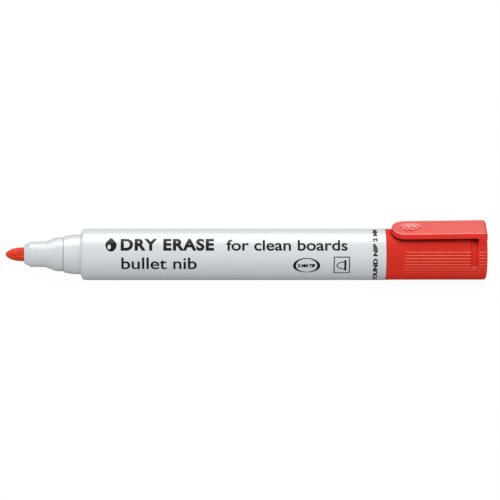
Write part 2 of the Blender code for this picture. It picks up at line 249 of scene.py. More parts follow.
def crease_shade(tree, add, colour, dark_share):
    """Painted shade: the colour, darkened to dark_share of itself deep in creases and gaps narrower than
    reach, where shade falls.
    """
    reach = 2.2 * MM
    occlusion = add("ShaderNodeAmbientOcclusion", samples=8)
    occlusion.inputs["Distance"].default_value = reach
    share = remap(tree, add, occlusion.outputs["AO"], dark_share, 1.0, start=0.25, end=0.78)
    return multiplied(tree, add, colour, share)


def painted_edge_light(tree, add, colour, least, most):
    """Painted light: the colour times least facing the viewer, and times most near the outline, standing in
    for light that soaks in there.
    """
    weight = add("ShaderNodeLayerWeight", Blend=0.5)
    share = remap(tree, add, weight.outputs["Facing"], least, most, start=0.03, end=0.33)
    return multiplied(tree, add, colour, share)


def relief_share(tree, add):
    """1 on the upward flanks of ribs. 0 where the surface faces along the X axis or straight away from it."""
    texture = add("ShaderNodeTexCoord")
    radial = add("ShaderNodeVectorMath", operation="MULTIPLY")
    radial.inputs[1].default_value = (0.0, 1.0, 1.0)
    outward = add("ShaderNodeVectorMath", operation="NORMALIZE")
    facing = add("ShaderNodeVectorMath", operation="DOT_PRODUCT")
    tree.links.new(texture.outputs["Object"], radial.inputs[0])
    tree.links.new(radial.outputs["Vector"], outward.inputs[0])
    tree.links.new(outward.outputs["Vector"], facing.inputs[0])
    tree.links.new(texture.outputs["Normal"], facing.inputs[1])
    endwise = add("ShaderNodeMath", operation="ABSOLUTE")
    tree.links.new(component(tree, add, texture.outputs["Normal"], "X"), endwise.inputs[0])
    level = arithmetic(tree, add, "ADD", facing.outputs["Value"], endwise.outputs["Value"])
    relief = remap(tree, add, level, 0.0, 1.0, start=0.98, end=0.85)
    outward_z = component(tree, add, outward.outputs["Vector"], "Z")
    high = remap(tree, add, outward_z, 0.0, 1.0, start=-0.50, end=0.35)
    normal_z = component(tree, add, texture.outputs["Normal"], "Z")
    rise = arithmetic(tree, add, "SUBTRACT", normal_z, outward_z)
    upward = remap(tree, add, rise, 0.0, 1.0, start=0.05, end=0.22)
    high_relief = arithmetic(tree, add, "MULTIPLY", relief, high)
    return arithmetic(tree, add, "MULTIPLY", high_relief, upward)


def top_gloss(tree, add, shine, top_shine, glint):
    """Specular level: shine, rising to top_shine on faces turned up, plus glint on the marked bars."""
    texture = add("ShaderNodeTexCoord")
    normal_z = component(tree, add, texture.outputs["Normal"], "Z")
    polished = remap(tree, add, normal_z, shine, top_shine, start=0.62, end=0.80)
    marks = add("ShaderNodeAttribute", attribute_name="glint")
    brighter = add("ShaderNodeMath", operation="MULTIPLY_ADD")
    brighter.inputs[1].default_value = glint
    tree.links.new(marks.outputs["Fac"], brighter.inputs[0])
    tree.links.new(polished, brighter.inputs[2])
    return brighter.outputs["Value"]


def moulded_plastic(
    name, dark, light, rough, grain=9000.0, grain_depth=0.003 * MM, shine=0.5, edge_shine=None, rib_highlight_colour=None,
    top_shine=None, crease_shade_share=0.5, glow=None, glint=0.0
):
    """Moulded plastic: faint cloudy colour, fine spark-eroded grain, roughness that varies a little, painted
    shade in creases, and painted light at the outline and painted rib highlights where asked.
    """
    cloud_grain = 260.0
    rough_spread = 0.04
    made, tree, shader, add = node_material(name)
    here = object_coordinates(tree, add)
    cloud = pattern(tree, add, here, cloud_grain)
    fine = pattern(tree, add, here, grain, detail=2.0)
    both = arithmetic(tree, add, "ADD", fine, cloud)
    blend = remap(tree, add, both, 0.0, 1.0, start=0.6, end=1.4)
    colour = two_colours(tree, add, blend, dark, light)
    if glow:
        # painted light: colour brighter near the outline, a little darker facing the viewer
        colour = painted_edge_light(tree, add, colour, *glow)
    # painted highlight: the upward flanks of the ribs drawn towards a pale colour
    if rib_highlight_colour:
        colour = tint(tree, add, relief_share(tree, add), colour, rib_highlight_colour)
    # painted shade: the base colour darkened by ambient occlusion in creases and gaps
    tree.links.new(crease_shade(tree, add, colour, crease_shade_share), shader.inputs["Base Color"])
    varied = remap(tree, add, fine, rough - rough_spread, rough + rough_spread)
    tree.links.new(varied, shader.inputs["Roughness"])
    shader.inputs["Specular IOR Level"].default_value = shine
    if edge_shine:
        polished = remap(tree, add, relief_share(tree, add), shine, edge_shine, start=0.0, end=1.0)
        tree.links.new(polished, shader.inputs["Specular IOR Level"])
    if top_shine:
        gloss = top_gloss(tree, add, shine, top_shine, glint)
        tree.links.new(gloss, shader.inputs["Specular IOR Level"])
    bump(tree, add, shader, fine, grain_depth)
    return made


def fibre(name, dark, light, glow=(1.0, 1.0)):
    """Bundled fibres that run along X, soaked in ink."""
    along, around = 120.0, 2600.0  # cycles per metre
    depth = 0.05 * MM
    made, tree, shader, add = node_material(name)
    here = object_coordinates(tree, add, (along, around, around))
    strands = pattern(tree, add, here, 1.0, detail=4.0, roughness=0.7)
    blend = remap(tree, add, strands, 0.0, 1.0, start=0.35, end=0.65)
    # painted light: the strands' colour brighter near the outline
    colour = painted_edge_light(tree, add, two_colours(tree, add, blend, dark, light), *glow)
    tree.links.new(colour, shader.inputs["Base Color"])
    tree.links.new(remap(tree, add, strands, 0.9, 0.55), shader.inputs["Roughness"])
    shader.inputs["Specular IOR Level"].default_value = 0.12
    bump(tree, add, shader, strands, depth)
    return made


def make_materials():
    """Every material of the marker, under the short names that the pieces use."""
    # grain of the red plastic, and the share of its colour kept in the painted crease shade
    red_grain_and_shade = {"grain": 2600.0, "grain_depth": 0.0006 * MM, "crease_shade_share": 0.05}
    return {
        "white": moulded_plastic("white_plastic", (0.714, 0.766, 0.781), (0.774, 0.817, 0.831), 0.28),
        "nose": moulded_plastic(
            "white_nose_plastic", (0.690, 0.735, 0.752), (0.740, 0.785, 0.802), 0.28, shine=0.4
        ),
        "red": moulded_plastic(
            "red_plastic", (0.75, 0.033, 0.021), (0.83, 0.042, 0.027), 0.40, shine=0.03, edge_shine=0.32,
            # painted highlights on the upward rib flanks, and painted light at the outline
            rib_highlight_colour=(0.88, 0.175, 0.098), glow=(0.93, 1.20), **red_grain_and_shade
        ),
        "clip": moulded_plastic(
            "red_clip_plastic", (0.77, 0.033, 0.021), (0.85, 0.042, 0.027), 0.34, shine=0.04, top_shine=0.70,
            glint=0.9, **red_grain_and_shade
        ),
        "liner": moulded_plastic("liner_plastic", (0.70, 0.70, 0.67), (0.80, 0.80, 0.77), 0.48),
        "film": moulded_plastic("wrap_film", (0.72, 0.72, 0.72), (0.84, 0.84, 0.84), 0.22),
        # the nib's colour has painted light at its outline
        "nib": fibre("ink_felt", (0.60, 0.012, 0.009), (0.98, 0.100, 0.030), glow=(0.97, 1.10)),
        "core": fibre("reservoir_fibre", (0.42, 0.03, 0.03), (0.62, 0.08, 0.06)),
        "print": moulded_plastic(
            "print_ink", (0.001, 0.001, 0.002), (0.003, 0.003, 0.005), 0.32, shine=0.16, crease_shade_share=1.0
        ),
    }


# ---------------------------------------------------------------- mesh helpers


def piece(name, bm, material, body, replaces=None):
    """An object from bm, in world coordinates, smooth apart from edges sharper than sharp_angle."""
    sharp_angle = math.radians(30)
    bmesh.ops.recalc_face_normals(bm, faces=bm.faces)
    mesh = bpy.data.meshes.new(name)
    bm.to_mesh(mesh)
    bm.free()
    mesh.materials.append(material)
    mesh.shade_smooth()
    mesh.set_sharp_from_angle(angle=sharp_angle)
    obj = bpy.data.objects.new(name, mesh)
    bpy.context.scene.collection.objects.link(obj)
    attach(obj, body)
    if replaces:
        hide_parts(replaces)


def rounded(corners, steps=6):
    """Profile points for corners (x, r) or (x, r, size), where size is how far the rounding reaches.

    The corners are taken as a loop, so an open profile gives its first and last corners no size.
    """
    most_of_half = 0.49  # of the way to the next corner, so that two roundings never meet
    points = []
    for i, corner in enumerate(corners):
        here = Vector(corner[:2])
        size = corner[2] if len(corner) > 2 else 0.0
        if size == 0.0:
            points.append(here)
            continue
        back = Vector(corners[i - 1][:2]) - here
        ahead = Vector(corners[(i + 1) % len(corners)][:2]) - here
        start = here + back.normalized() * min(size, most_of_half * back.length)
        end = here + ahead.normalized() * min(size, most_of_half * ahead.length)
        for k in range(steps + 1):
            t = k / steps
            points.append(start * (1 - t) ** 2 + here * 2 * t * (1 - t) + end * t**2)
    return [(p.x, p.y) for p in points]


def turned_bmesh(points, steps=ROUND):
    """Points (x, r) turned about X. A profile that doesn't start on the axis is closed into a ring."""
    bm = bmesh.new()
    line = [bm.verts.new((x, 0.0, r)) for x, r in points]
    pairs = list(zip(line, line[1:]))
    if points[0][1] > 0.0:
        pairs.append((line[-1], line[0]))
    edges = [bm.edges.new(pair) for pair in pairs]
    bmesh.ops.spin(
        bm, geom=line + edges, cent=(0, 0, 0), axis=(1, 0, 0), angle=math.tau, steps=steps, use_merge=True
    )
    bmesh.ops.remove_doubles(bm, verts=bm.verts, dist=1e-8)
    return bm


def turned_piece(name, corners, material, body, replaces, steps=ROUND):
    """A piece turned about X from the corners of its profile."""
    piece(name, turned_bmesh(rounded(corners), steps), material, body, replaces)


# ---------------------------------------------------------------- body of the marker


def make_barrel(mats):
    """White tube with the stepped neck in front and a rebate for the plug's flange behind."""
    neck_front = NECK_X
    shoulder = behind_tip(22.7)
    rebate = BARREL_END_X - 0.80 * MM
    rebate_r = 7.00 * MM
    corners = [
        (neck_front, 5.52 * MM, 0.12 * MM),
        (neck_front + 2.60 * MM, NECK_R - 0.02 * MM, 0.80 * MM),
        (shoulder, NECK_R, 0.10 * MM),
        (shoulder + 0.50 * MM, BARREL_R - 0.34 * MM, 0.14 * MM),
        (shoulder + 0.80 * MM, BARREL_R - 0.09 * MM, 0.14 * MM),
        (shoulder + 1.60 * MM, BARREL_R - 0.06 * MM, 0.10 * MM),
        (shoulder + 1.72 * MM, BARREL_R, 0.06 * MM),
        (BARREL_END_X, BARREL_R, 0.16 * MM),
        (BARREL_END_X, rebate_r, 0.08 * MM),
        (rebate, rebate_r),
        (rebate, BORE_R),
        (behind_tip(25.9), BORE_R),
        (behind_tip(24.6), NECK_BORE_R),
        (neck_front, NECK_BORE_R),
    ]
    turned_piece("barrel_tube", corners, mats["white"], "marker_body", "barrel")


def make_nib_holder(mats):
    """White nose, flare and flange in front of the neck, with the skirt that goes into it."""
    flange_back = NECK_X - PRESS_GAP
    skirt_r = NECK_BORE_R - PRESS_GAP
    skirt_inner_r = 4.10 * MM
    rod_room_r = 2.60 * MM
    socket_r = NIB_R + PRESS_GAP
    corners = [
        (HOLDER_FRONT_X, 2.80 * MM, 0.16 * MM),
        (behind_tip(7.65), HOLDER_R, 0.35 * MM),
        (behind_tip(11.95), HOLDER_R, 0.60 * MM),
        (behind_tip(15.35), FLANGE_R, 0.50 * MM),
        (flange_back, FLANGE_R, 0.12 * MM),
        (flange_back, skirt_r),
        (HOLDER_END_X, skirt_r, 0.40 * MM),
        (HOLDER_END_X, skirt_inner_r, 0.20 * MM),
        (behind_tip(19.0), skirt_inner_r),
        (behind_tip(17.5), rod_room_r),
        (behind_tip(12.6), rod_room_r),
        (behind_tip(12.1), socket_r),
        (HOLDER_FRONT_X, socket_r, 0.10 * MM),
    ]
    turned_piece("nose_section", corners, mats["nose"], "marker_body", "nib_holder")


def make_nib(mats):
    """Bullet nib. Its fibres stand out as shallow streaks that run along X."""
    point_length = 5.05 * MM
    tip_r = 0.50 * MM
    streak_depth = 0.035 * MM
    fullness, bluntness = 2.1, 0.56
    rows, rod_rows, rod_step = 60, 8, 0.5 * MM
    rear_taper, rear_r = 1.5 * MM, 0.9 * MM
    fine_along, fine_across = 300, 5200  # cycles per metre
    coarse_along, coarse_across, coarse_offset = 500, 1500, 7
    fine_share, coarse_share, sink = 0.6, 0.4, 0.5
    points = [(TIP_X, 0.0)]
    for i in range(1, rows + 1):
        share = (i / rows) ** 2
        swell = (1 - (1 - share) ** fullness) ** bluntness
        points.append((TIP_X + point_length * share, NIB_R * swell))
    for i in range(1, rod_rows + 1):
        points.append((TIP_X + point_length + i * rod_step, NIB_R))
    points += [(NIB_END_X - rear_taper, NIB_R), (NIB_END_X, rear_r), (NIB_END_X, 0.0)]
    bm = turned_bmesh(points)
    for vert in bm.verts:
        x, y, z = vert.co
        radius = math.hypot(y, z)
        if radius < 1e-6:
            continue
        fine = noise.noise(Vector((x * fine_along, y * fine_across, z * fine_across)))
        coarse = noise.noise(Vector((x * coarse_along + coarse_offset, y * coarse_across, z * coarse_across)))
        push = streak_depth * (fine_share * fine + coarse_share * coarse - sink) * min(1.0, radius / tip_r)
        vert.co.y += y / radius * push
        vert.co.z += z / radius * push
    piece("bullet_nib", bm, mats["nib"], "marker_body", "nib")


def make_core(mats):
    """Ink reservoir with the socket for the nib's rod, and the film wrapped round it."""
    socket_end = NIB_END_X + 0.30 * MM
    socket_r = NIB_R + PRESS_GAP
    front, rear = CORE_X
    corners = [
        (socket_end, 0.0),
        (socket_end, socket_r),
        (front, socket_r, 0.2 * MM),
        (front, CORE_R, 0.3 * MM),
        (rear, CORE_R, 0.3 * MM),
        (rear, 0.0),
    ]
    turned_piece(
        "ink_core", corners, mats["core"], "marker_body", "ink_reservoir", HIDDEN_ROUND
    )
    film_inner = CORE_R + PRESS_GAP
    sleeve = [(front, film_inner), (front, FILM_R), (rear, FILM_R), (rear, film_inner)]
    turned_piece(
        "core_sleeve", sleeve, mats["film"], "marker_body", "reservoir_film", HIDDEN_ROUND
    )


def make_end_plug(mats):
    """Red plug with a skirt in the bore, a flange in the rebate, and the stub that carries the posted cap."""
    front, rear = PLUG_X
    skirt_r = BORE_R - PRESS_GAP
    flange_front = BARREL_END_X - 0.72 * MM
    flange_back = BARREL_END_X - 0.05 * MM
    wall = 1.10 * MM
    dish = 0.30 * MM
    inner_r = STUB_R - wall
    inner_end = rear - dish - wall
    corners = [
        (inner_end, 0.0),
        (inner_end, inner_r, 0.4 * MM),
        (front, inner_r, 0.1 * MM),
        (front, skirt_r, 0.4 * MM),
        (flange_front, skirt_r),
        (flange_front, PLUG_FLANGE_R, 0.08 * MM),
        (flange_back, PLUG_FLANGE_R, 0.08 * MM),
        (flange_back, STUB_R, 0.10 * MM),
        (rear, STUB_R, 0.90 * MM),
        (rear, 3.90 * MM, 0.15 * MM),
        (rear - dish, 3.60 * MM, 0.15 * MM),
        (rear - dish, 0.0),
    ]
    turned_piece("rear_plug", corners, mats["red"], "marker_body", "end_plug")


# ---------------------------------------------------------------- cap


def make_liner(mats):
    """Sealing cup inside the cap, with a lip that holds on the stub."""
    front, rear = LINER_X
    inner_r, lip_r = STUB_R + 0.16 * MM, STUB_R + PRESS_GAP
    wall = 0.60 * MM
    corners = [
        (rear - wall, 0.0),
        (rear - wall, inner_r, 0.6 * MM),
        (front + 1.90 * MM, inner_r, 0.2 * MM),
        (front + 1.40 * MM, lip_r, 0.2 * MM),
        (front + 1.00 * MM, lip_r, 0.2 * MM),
        (front + 0.50 * MM, inner_r, 0.2 * MM),
        (front, inner_r + 0.15 * MM, 0.1 * MM),
        (front, LINER_R, 0.1 * MM),
        (rear, LINER_R, 0.7 * MM),
        (rear, 0.0),
    ]
    turned_piece("seal_cup", corners, mats["liner"], "cap_carrier", "cap_liner")


def cap_wall_radius(x):
    """Radius of the cap's plain wall, which tapers a little from the mouth's band to the flat end."""
    taper = (CAP_TAPER - CAP_WALL_DROP) * (x - CAP_WALL_X) / (CAP_CORNER_X - CAP_WALL_X)
    return CAP_R - CAP_WALL_DROP - taper


def cap_outline():
    """Outer profile of the cap from mouth to flat end, with rows close together where the relief starts."""
    band_r = CAP_R + CAP_BAND_RISE
    edge_reach = 0.25 * MM
    wall_rows, corner_steps = 30, 10
    points = rounded([
        (MOUTH_X, CAP_R - 0.22 * MM),
        (MOUTH_X, band_r, 0.18 * MM),
        (MOUTH_X + 0.80 * MM, band_r, 0.12 * MM),
        (CAP_WALL_X, CAP_R - CAP_WALL_DROP),
    ])
    rows = set(np.linspace(CAP_WALL_X, CAP_CORNER_X, wall_rows)[1:])
    rib_start = (RIB_FRONT_X + RIB_RUN_OUT / 2, 2.0 * RIB_RUN_OUT, 20)
    for edge, reach, count in (rib_start, (CHANNEL_FRONT_X, edge_reach, 12), (CLIP_ROOT_X, edge_reach, 12)):
        rows.update(np.linspace(edge - reach, edge + reach, count))
    points += [(x, cap_wall_radius(x)) for x in sorted(rows)]
    end_r = CAP_R - CAP_TAPER - CAP_CORNER
    for i in range(1, corner_steps + 1):
        angle = math.pi / 2 * i / corner_steps
        points.append((CAP_CORNER_X + CAP_CORNER * math.sin(angle), end_r + CAP_CORNER * math.cos(angle)))
    return points


def smooth(value):
    """Smooth step of a value that runs from 0 to 1."""
    value = np.clip(value, 0.0, 1.0)
    return value * value * (3 - 2 * value)


def channel_share(x, angle):
    """1 on the channel's floor and 0 outside it. Angle is counted from the clip, so both ends are alike."""
    middle = (CHANNEL_FRONT_X + CLIP_ROOT_X) / 2
    half = (CLIP_ROOT_X - CHANNEL_FRONT_X) / 2
    along = np.abs(x - middle) - (half - CHANNEL_CORNER)
    around = (np.abs(angle) - CHANNEL_END) * CAP_R + CHANNEL_CORNER
    beyond = np.hypot(np.maximum(along, 0), np.maximum(around, 0))
    outside = beyond + np.minimum(np.maximum(along, around), 0)
    return smooth((CHANNEL_CORNER + CHANNEL_WALL - outside) / (2 * CHANNEL_WALL))


def rib_share(x, angle):
    """Height share of the grip ribs: rounded crests on both flanks that rise gently at their front ends."""
    crest_power = 0.7
    share = np.zeros_like(x)
    for i in range(RIB_COUNT):
        step = i - (RIB_COUNT - 1) / 2
        centre = RIB_MIDDLE + step * RIB_PITCH
        across = (np.abs(angle) - centre) * CAP_R / RIB_HALF_WIDTH
        rise = smooth((x - RIB_FRONT_X + step * RIB_SLANT) / RIB_RUN_OUT)
        share = np.maximum(share, np.clip(1 - across**2, 0, 1) ** crest_power * rise)
    rear_end = CAP_END_X - 0.15 * MM
    rear_reach = 0.5 * MM
    return share * smooth((rear_end - x) / rear_reach)


def cap_angles():
    """Angles round the cap from the clip: fine over the ribs and the channel's ends, coarser elsewhere."""
    fine_start, fine_end, fine_step, coarse_step = 53.0, 132.0, 0.4, 1.4
    fine = np.radians(np.arange(fine_start, fine_end, fine_step))
    top = np.radians(np.arange(0.0, fine_start, coarse_step))
    under = np.radians(np.arange(fine_end, 179.5, coarse_step))
    half = np.concatenate([top, fine, under])
    return np.concatenate([half, [math.pi], -half[:0:-1]])


def make_cap(mats):
    """Outer cup of the cap: its radius depends on x and on the angle from the clip."""
    outer = cap_outline()
    pocket_end = CAP_END_X - 1.40 * MM
    inner = rounded([
        (pocket_end, POCKET_R - 0.6 * MM),
        (pocket_end, POCKET_R, 0.3 * MM),
        (MOUTH_X, POCKET_R),
        (MOUTH_X, POCKET_R + 0.10 * MM),
    ])
    profile = inner + outer
    angles = cap_angles()
    count = len(angles)
    x = np.repeat([p[0] for p in profile], count).reshape(-1, count)
    r = np.repeat([p[1] for p in profile], count).reshape(-1, count)
    around = np.tile(angles, (len(profile), 1))
    cut = channel_share(x, around)
    relief = RIB_HEIGHT * rib_share(x, around) * (1 - cut) - CHANNEL_DEPTH * cut
    r[len(inner):] += relief[len(inner):]
    bm = bmesh.new()
    rows = []
    for i in range(len(profile)):
        ys, zs = r[i] * np.sin(around[i]), r[i] * np.cos(around[i])
        rows.append([bm.verts.new((x[i, k], ys[k], zs[k])) for k in range(count)])
    for this, following in zip(rows, rows[1:]):
        for k in range(count):
            bm.faces.new((this[k - 1], this[k], following[k], following[k - 1]))
    for row, end_x in ((rows[0], pocket_end), (rows[-1], CAP_END_X)):
        hub = bm.verts.new((end_x, 0.0, 0.0))
        for k in range(count):
            bm.faces.new((row[k - 1], row[k], hub))
    piece("cap_cup", bm, mats["red"], "cap", "cap_shell")


def round_max(a, b, radius):
    """Where both fields hold, with the outer corner rounded."""
    beyond = np.hypot(np.maximum(a + radius, 0), np.maximum(b + radius, 0))
    return np.minimum(np.maximum(a, b), -radius) + beyond


def round_min(a, b, radius):
    """Where either field holds, with the inner corner filled to this radius."""
    return -round_max(-a, -b, radius)


def button_stretch(x, y):
    """Distance from the middle of the clip's oval button, counted so that its outline is at 1."""
    return np.hypot((x - BUTTON_X) / BUTTON_REACH, y / BUTTON_HALF)


def bar_share(x, y):
    """1 on the three slanted bars that cross the button's dish, and 0 off them."""
    bar_half, bar_gap = 0.30 * MM, 1.55 * MM
    bar_edge = 1.5  # where a bar's slope ends, in half widths from its middle
    bars_end, fade = 0.88, 0.20  # as shares of the button's own size
    slant = math.radians(28)
    across = (x - BUTTON_X) * math.cos(slant) + y * math.sin(slant)
    nearest = np.abs(across - np.clip(np.round(across / bar_gap), -1, 1) * bar_gap)
    return smooth(bar_edge - nearest / bar_half) * smooth((bars_end - button_stretch(x, y)) / fade)


def clip_relief(x, y):
    """Height of the plain ornament on the clip: a dished oval button with three bars, in a shallow moat."""
    rim_height, bar_height, moat_depth = 0.32 * MM, 0.12 * MM, 0.14 * MM
    slope, moat_middle, moat_half = 0.22 * MM, 0.16 * MM, 0.22 * MM
    stretched = button_stretch(x, y)
    outside = (stretched - 1) * (BUTTON_REACH + BUTTON_HALF) / 2
    button = smooth(-outside / slope)
    moat = np.exp(-(((outside - moat_middle) / moat_half) ** 2))
    dish = rim_height * np.minimum(stretched, 1.0) ** 2
    return button * (dish + bar_height * bar_share(x, y)) - moat_depth * moat


def clip_field(x, y, z):
    """Signed distance, negative inside, of the clip, its block and a patch of the cap's wall beside it."""
    top_edge, low_edge, rear_corner = 0.26 * MM, 0.18 * MM, 1.30 * MM
    fillet, under_fillet = 0.25 * MM, 0.30 * MM
    sunk = 0.003 * MM  # the patch of wall lies this far under the cup's surface

    # Height of the clip's top and underside, and half its width, which narrows upwards.
    curl = np.maximum(CLIP_TIP_X + CLIP_LIFT_REACH - x, 0.0) / CLIP_LIFT_REACH
    top_z = CLIP_TOP_Z + CLIP_TOP_RISE * (x - CLIP_TIP_X) + CLIP_TIP_LIFT * curl**2
    under_z = CLIP_UNDER_Z + CLIP_UNDER_RISE * (x - CLIP_TIP_X)
    share = np.clip((z - under_z) / (top_z - under_z), 0.0, 1.4)
    half = CLIP_BASE_HALF + (CLIP_TOP_HALF - CLIP_BASE_HALF) * share

    # Distance from the outline seen from above, which is straight with a round tip.
    along = np.maximum(CLIP_TIP_X + CLIP_TIP_LEAN * share + CLIP_TIP_REACH - x, 0)
    power = CLIP_TIP_POWER
    spread = ((along / CLIP_TIP_REACH) ** power + (np.abs(y) / half) ** power) ** (1 / power) + 1e-6
    plan = (spread - 1) * np.hypot(along, y) / spread
    plan = np.where(np.abs(y) + along < 1e-9, -half, plan)

    # The tongue has an underside. The section behind the root goes on down into the cap's wall.
    bar = round_max(plan, z - top_z - clip_relief(x, y), top_edge)
    tongue = round_max(bar, under_z - z, low_edge)
    radius = np.hypot(y, z)
    wall = radius - cap_wall_radius(x) + sunk
    section = round_min(bar, wall, fillet)
    hidden_r = CAP_R - 0.42 * MM
    patch_half = CLIP_BASE_HALF + fillet + 0.15 * MM
    section = np.maximum(section, hidden_r - radius)
    section = np.maximum(section, np.abs(y) - patch_half)
    section = np.maximum(section, CLIP_ROOT_X - x)
    whole = round_min(tongue, section, under_fillet)
    whole = np.maximum(whole, bar - 0.25 * np.maximum(under_z - z, 0.0))
    return round_max(whole, x - (CAP_END_X - sunk), rear_corner)


def pulled_to_surface(field, points, reach, limit):
    """The points, each moved along the field's slope towards where the field is 0, by limit at most."""
    value = field(*points.T)
    slope = np.zeros_like(points)
    for k in range(3):
        shift = np.zeros(3)
        shift[k] = reach
        slope[:, k] = (field(*(points + shift).T) - field(*(points - shift).T)) / (2 * reach)
    size = np.maximum((slope**2).sum(1), 0.25)
    return points - slope * np.clip(value / size, -limit, limit)[:, None]


def evened(points, faces):
    """The points, each moved half way to the middle of its neighbours."""
    total = np.zeros_like(points)
    count = np.zeros((len(points), 1))
    for k in range(4):
        for neighbour in (faces[:, k - 1], faces[:, (k + 1) % 4]):
            np.add.at(total, faces[:, k], points[neighbour])
            np.add.at(count, faces[:, k], 1)
    return (points + total / np.maximum(count, 1)) / 2


def surface_net(field, low, high, step):
    """Vertices and faces of the surface where field is 0. Each vertex keeps to its own cube of a grid."""
    low = np.array(low)
    shape = np.ceil((np.array(high) - low) / step).astype(int) + 1
    lines = [low[k] + step * np.arange(shape[k]) for k in range(3)]
    grid = np.meshgrid(*lines, indexing="ij")
    inside = field(*grid) < 0
    cells = shape - 1
    corners = np.zeros(tuple(cells), int)
    for i in (0, 1):
        for j in (0, 1):
            for k in (0, 1):
                corners += inside[i : i + cells[0], j : j + cells[1], k : k + cells[2]]
    crossed = (corners > 0) & (corners < 8)
    index = np.full(tuple(cells), -1)
    index[crossed] = np.arange(crossed.sum())
    faces = []
    for axis in range(3):
        u, v = (axis + 1) % 3, (axis + 2) % 3
        ahead = np.roll(inside, -1, axis)
        at = np.argwhere(inside != ahead)
        fits = (at[:, axis] < cells[axis]) & (at[:, u] > 0) & (at[:, v] > 0)
        fits &= (at[:, u] < cells[u]) & (at[:, v] < cells[v])
        at = at[fits]
        back_u, back_v = np.eye(3, dtype=int)[u], np.eye(3, dtype=int)[v]
        ring = [at, at - back_u, at - back_u - back_v, at - back_v]
        quad = np.stack([index[tuple(p.T)] for p in ring], 1)
        outward = inside[tuple(at.T)]
        quad[~outward] = quad[~outward][:, ::-1]
        faces.append(quad)
    faces = np.concatenate(faces)
    centres = low + (np.argwhere(crossed) + 0.5) * step
    points = centres.copy()
    rounds, pulls = 4, 4
    half_cell = 0.5 * step
    for turn in range(rounds):
        if turn > 0:
            points = evened(points, faces)
        for _ in range(pulls):
            points = pulled_to_surface(field, points, 0.02 * step, half_cell)
            points = np.clip(points, centres - half_cell, centres + half_cell)
    return points, faces


def make_clip(mats):
    """Clip and its block in one mesh; the tongue leaves the block at the clip's root."""
    end_margin, side_margin = 0.5 * MM, 1.0 * MM
    lowest, highest = 5.0 * MM, 10.6 * MM
    cell = 0.12 * MM
    low = (CLIP_TIP_X - end_margin, -CLIP_BASE_HALF - side_margin, lowest)
    high = (CAP_END_X + end_margin, CLIP_BASE_HALF + side_margin, highest)
    points, faces = surface_net(clip_field, low, high, cell)
    mesh = bpy.data.meshes.new("clip_tongue")
    mesh.from_pydata(points.tolist(), [], faces.tolist())
    mesh.materials.append(mats["clip"])
    mesh.shade_smooth()
    glint = mesh.attributes.new("glint", "FLOAT", "POINT")
    glint.data.foreach_set("value", bar_share(points[:, 0], points[:, 1]))
    clip = bpy.data.objects.new("clip_tongue", mesh)
    bpy.context.scene.collection.objects.link(clip)
    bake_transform(clip)
    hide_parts("pocket_clip")


# ---------------------------------------------------------------- printed marks


def spot(behind, rise):
    """Place in the print's flat layout: millimetres behind the writing tip, and up from the facing line."""
    return (behind_tip(behind), rise * MM)


def flat_outline(bm, points):
    """One flat face with this outline."""
    bm.faces.new([bm.verts.new((u, v, 0.0)) for u, v in points])


def flat_band(bm, outer, inner):
    """A closed band between two outlines of equally many points."""
    a = [bm.verts.new((u, v, 0.0)) for u, v in outer]
    b = [bm.verts.new((u, v, 0.0)) for u, v in inner]
    for k in range(len(a)):
        bm.faces.new((a[k - 1], a[k], b[k], b[k - 1]))


def ellipse(centre, half_width, half_height, steps=72):
    """Outline of an ellipse."""
    turn = [math.tau * i / steps for i in range(steps)]
    return [(centre[0] + half_width * math.cos(t), centre[1] + half_height * math.sin(t)) for t in turn]


def rounded_box(centre, half_width, half_height, corner, steps=6):
    """Outline of a box with round corners."""
    points = []
    for quarter, (sx, sy) in enumerate(((1, 1), (-1, 1), (-1, -1), (1, -1))):
        for i in range(steps + 1):
            angle = math.pi / 2 * (quarter + i / steps)
            u = centre[0] + sx * (half_width - corner) + corner * math.cos(angle)
            v = centre[1] + sy * (half_height - corner) + corner * math.sin(angle)
            points.append((u, v))
    return points


def flat_text(bm, words, low, high, thicken=0.0, spacing=1.0, upright=False):
    """Words in Blender's own font, fitted between two corners. Upright words read upwards."""
    curve = bpy.data.curves.new("words", "FONT")
    curve.body = words
    curve.offset = thicken
    curve.space_character = spacing
    holder = bpy.data.objects.new("words", curve)
    bpy.context.scene.collection.objects.link(holder)
    bpy.context.view_layer.update()
    mesh = bpy.data.meshes.new_from_object(holder)
    bpy.data.objects.remove(holder)
    co = np.array([v.co[:2] for v in mesh.vertices])
    share = (co - co.min(0)) / (co.max(0) - co.min(0))
    if upright:
        share = np.stack([1 - share[:, 1], share[:, 0]], 1)
    place = np.array(low) + share * (np.array(high) - np.array(low))
    for vert, (u, v) in zip(mesh.vertices, place):
        vert.co = (u, v, 0.0)
    bm.from_mesh(mesh)
    bpy.data.meshes.remove(mesh)


def printed(name, bm, mats):
    """Thin layer of ink: the flat layout in bm, cut into slices so that it can wrap round the barrel."""
    slice_height = 0.3 * MM
    bmesh.ops.remove_doubles(bm, verts=bm.verts, dist=1e-6)
    heights = [vert.co.y for vert in bm.verts]
    level = min(heights) + slice_height
    while level < max(heights):
        everything = bm.verts[:] + bm.edges[:] + bm.faces[:]
        bmesh.ops.bisect_plane(bm, geom=everything, plane_co=(0, level, 0), plane_no=(0, 1, 0))
        level += slice_height
    raised = bmesh.ops.extrude_face_region(bm, geom=bm.faces[:])
    top = {item for item in raised["geom"] if isinstance(item, bmesh.types.BMVert)}
    for vert in bm.verts:
        radius = BARREL_R + (INK_RISE if vert in top else -INK_ROOT)
        angle = FACING - vert.co.y / BARREL_R
        vert.co = (vert.co.x, -radius * math.sin(angle), radius * math.cos(angle))
    piece(name, bm, mats["print"], "marker_body")


